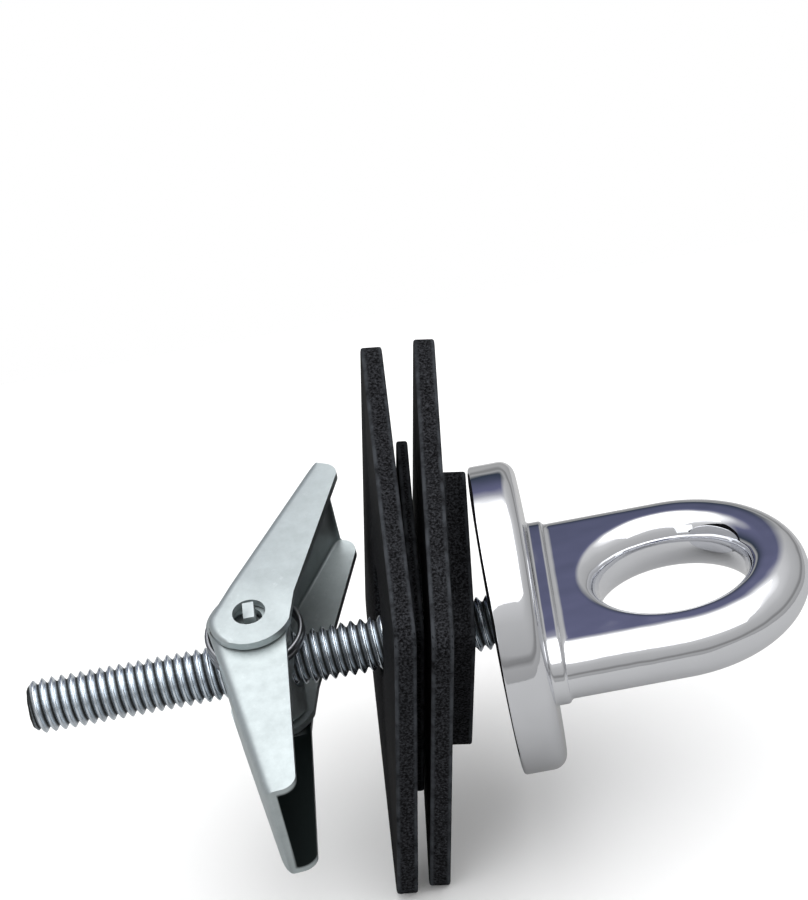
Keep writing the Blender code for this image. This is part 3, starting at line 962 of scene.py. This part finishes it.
VIEW_TURN = math.radians(3.0)
VIEW_HEIGHT = math.radians(30.0)
VIEW_ROLL = math.radians(12.2)
VIEW_DISTANCE = 560 * MM
SENSOR = 36.0
LENS = 174.65
OFF_CENTRE = (13.14 * MM, -24.43 * MM)  # where the origin lies from the middle of the picture


def add_camera():
    """A camera turned, raised and rolled about the origin, with the origin off its centre line."""
    a, e, r = VIEW_TURN, VIEW_HEIGHT, VIEW_ROLL
    back = Vector((math.sin(a) * math.cos(e), -math.cos(a) * math.cos(e), math.sin(e)))
    level = Vector((math.cos(a), math.sin(a), 0))
    upright = back.cross(level)
    right = level * math.cos(r) - upright * math.sin(r)
    up = level * math.sin(r) + upright * math.cos(r)
    data = bpy.data.cameras.new("camera")
    data.sensor_fit = "HORIZONTAL"
    data.sensor_width, data.lens = SENSOR, LENS
    data.clip_start, data.clip_end = 0.01, 20
    camera = bpy.data.objects.new("camera", data)
    bpy.context.scene.collection.objects.link(camera)
    camera.matrix_world = Matrix((right, up, back)).transposed().to_4x4()
    camera.location = back * VIEW_DISTANCE - right * OFF_CENTRE[0] - up * OFF_CENTRE[1]
    bpy.context.scene.camera = camera


FLOOR_REACH = 0.16
FLOOR_IN_REFLECTIONS = 0.42             # how much darker the floor is to the object than to the camera


def add_floor(s):
    """A small pale floor just under the object."""
    low = cad_box[0][2] - 0.1 * MM
    corners = [(-FLOOR_REACH, -FLOOR_REACH), (FLOOR_REACH, -FLOOR_REACH),
               (FLOOR_REACH, FLOOR_REACH), (-FLOOR_REACH, FLOOR_REACH)]
    mesh = bpy.data.meshes.new("floor")
    mesh.from_pydata([(x, y, low) for x, y in corners], [], [(0, 1, 2, 3)])

    def make(tree):
        spot, _ = tree.place()
        seen = tree.term(tree.add("ShaderNodeLightPath"), "Is Camera Ray")
        pale = tree.blend(tree.noise(spot, 8, 2) * 0.1, rgb(s.floor), rgb((1, 1, 1)))
        darker = rgb([c * FLOOR_IN_REFLECTIONS for c in s.floor])
        return {"Base Color": tree.blend(seen, darker, pale), "Roughness": 0.9}
    mesh.materials.append(new_material("pale_floor", make))
    object_of(mesh)


def add_light(name, place, target, width, power, tint=(1, 1, 1)):
    """A square lamp that faces its target."""
    data = bpy.data.lights.new(name, "AREA")
    data.shape, data.size, data.energy, data.color = "SQUARE", width, power, tint
    lamp = bpy.data.objects.new(name, data)
    bpy.context.scene.collection.objects.link(lamp)
    lamp.location = place
    lamp.rotation_euler = (Vector(place) - Vector(target)).to_track_quat("Z", "Y").to_euler()


# The studio's brightness from straight down (0) through the horizon (0.5) to straight up (1).
BANDS = [(0.0, 0.30), (0.30, 0.34), (0.46, 0.42), (0.495, 0.24), (0.525, 0.28), (0.56, 0.44), (0.72, 0.52),
         (0.84, 0.70), (0.92, 1.6), (1.0, 1.8)]


WALL_FOOT = (0.03, 0.042, 0.06, 1)
WALL_HEAD = (0.15, 0.155, 0.26, 1)


def add_sky():
    """A grey studio with a bright ceiling and a dark wall, seen in reflections; all else sees plain white."""
    world = bpy.data.worlds.new("studio")
    world.use_nodes = True
    world.node_tree.nodes.clear()
    tree = Tree(world.node_tree)
    way = tree.add("ShaderNodeTexCoord").outputs["Generated"]
    split = tree.add("ShaderNodeSeparateXYZ", None, {0: way})
    x, y, z = (tree.term(split, i) for i in range(3))
    height = z * 0.5 + 0.5
    bands = tree.add("ShaderNodeValToRGB", {"stops": BANDS}, {0: height}).outputs[0]
    behind = y.between(0.15, 0.45) * (1 - x.between(0.12, 0.35))
    behind = behind * z.between(0.10, 0.22) * (1 - z.between(0.58, 0.78))
    wall = tree.blend(z.between(0.2, 0.62), WALL_FOOT, WALL_HEAD)
    room = tree.blend(behind, bands, wall)
    path = tree.add("ShaderNodeLightPath")
    plain = tree.term(path, "Is Camera Ray").most(tree.term(path, "Is Diffuse Ray"))
    shown = tree.blend(plain, room, (1, 1, 1, 1))
    glow = tree.add("ShaderNodeBackground", None, {"Color": shown, "Strength": 1.0})
    tree.add("ShaderNodeOutputWorld", None, {"Surface": glow.outputs[0]})
    bpy.context.scene.world = world


class PADEYE_OT_stage(bpy.types.Operator):
    """Set up the floor, the soft studio light and the camera"""
    bl_idname = "padeye.stage"
    bl_label = "Stage"

    def execute(self, context):
        s = context.scene.padeye_stage
        context.scene.view_settings.view_transform = "Standard"
        add_camera()
        add_floor(s)
        middle = (0, 0, 0)
        add_light("overhead", (0.05, -0.15, 0.9), middle, 1.5, s.key)
        add_light("front", (-0.5, -0.8, 0.5), middle, 0.5, s.key * 0.12, (0.95, 0.98, 1))
        add_sky()
        return {"FINISHED"}


# ---------------------------------------------------------------- add-on

OPERATORS = (PADEYE_OT_casting, PADEYE_OT_stud, PADEYE_OT_gaskets, PADEYE_OT_wings, PADEYE_OT_nut,
             PADEYE_OT_spring, PADEYE_OT_stage)
SETTINGS = {
    "padeye_casting": CastingSettings,
    "padeye_stud": StudSettings,
    "padeye_gaskets": GasketSettings,
    "padeye_toggle": ToggleSettings,
    "padeye_stage": StageSettings,
}


class PADEYE_PT_panel(bpy.types.Panel):
    """Sizes, colours and pieces of the pad eye"""
    bl_label = "Pad eye"
    bl_idname = "PADEYE_PT_panel"
    bl_space_type = "VIEW_3D"
    bl_region_type = "UI"
    bl_category = "Pad eye"

    def draw(self, context):
        for operator in OPERATORS:
            self.layout.operator(operator.bl_idname)
        for name in SETTINGS:
            box = self.layout.box()
            group = getattr(context.scene, name)
            for key in group.bl_rna.properties.keys():
                if key not in ("rna_type", "name"):
                    box.prop(group, key)


def register():
    for group in SETTINGS.values():
        bpy.utils.register_class(group)
    for name, group in SETTINGS.items():
        setattr(bpy.types.Scene, name, PointerProperty(type=group))
    for kind in (*OPERATORS, PADEYE_PT_panel):
        bpy.utils.register_class(kind)


def unregister():
    for kind in reversed((*OPERATORS, PADEYE_PT_panel)):
        bpy.utils.unregister_class(kind)
    for name, group in SETTINGS.items():
        delattr(bpy.types.Scene, name)
        bpy.utils.unregister_class(group)


def main():
    register()
    for name in ("casting", "stud", "gaskets", "wings", "nut", "spring", "stage"):
        getattr(bpy.ops.padeye, name)()


if __name__ == "__main__":
    main()
